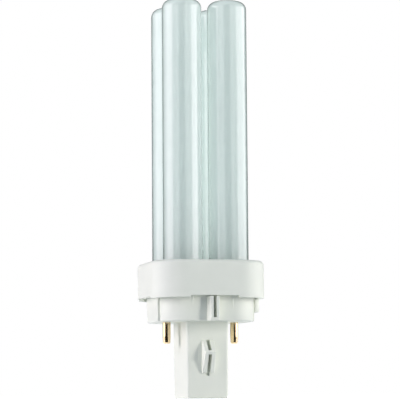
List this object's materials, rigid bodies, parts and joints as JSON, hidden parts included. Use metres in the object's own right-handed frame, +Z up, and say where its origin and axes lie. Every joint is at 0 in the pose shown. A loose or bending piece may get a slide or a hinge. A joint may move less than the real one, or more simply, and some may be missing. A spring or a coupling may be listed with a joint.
{
  "type": "compact fluorescent plug-in lamp",
  "caption": "Compact fluorescent lamp with bundled white glass limbs on a square collar, and a plug-in cap with contact pins, key ribs and a wedged post.",
  "frame": {"origin": "middle of the post's free end, which is the lamp's lowest face", "axes": "+Z up along the glass limbs, X through both contact pins with the hanging tongue at +X, -Y the front in the picture"},
  "size_m": [0.034, 0.034, 0.118],
  "materials": {
    "phosphor_glass": "clear gloss over white",
    "cap_plastic": "satin",
    "pin_brass": "polished",
    "cement": "matte",
    "starter_glass": "clear gloss",
    "capacitor_case": "dipped gloss",
    "lead_wire": "drawn"
  },
  "bodies": {
    "root": {"discharge_tube": "phosphor_glass", "tube_cement": "cement", "collar": "cap_plastic", "base_housing": "cap_plastic", "contact_pin_left": "pin_brass", "contact_pin_right": "pin_brass", "glow_starter": "starter_glass", "starter_capacitor": "capacitor_case", "lead_wire_left_pin": "lead_wire", "lead_wire_right_pin": "lead_wire", "lead_wire_left_starter": "lead_wire", "lead_wire_right_starter": "lead_wire"}
  },
  "joints": []
}
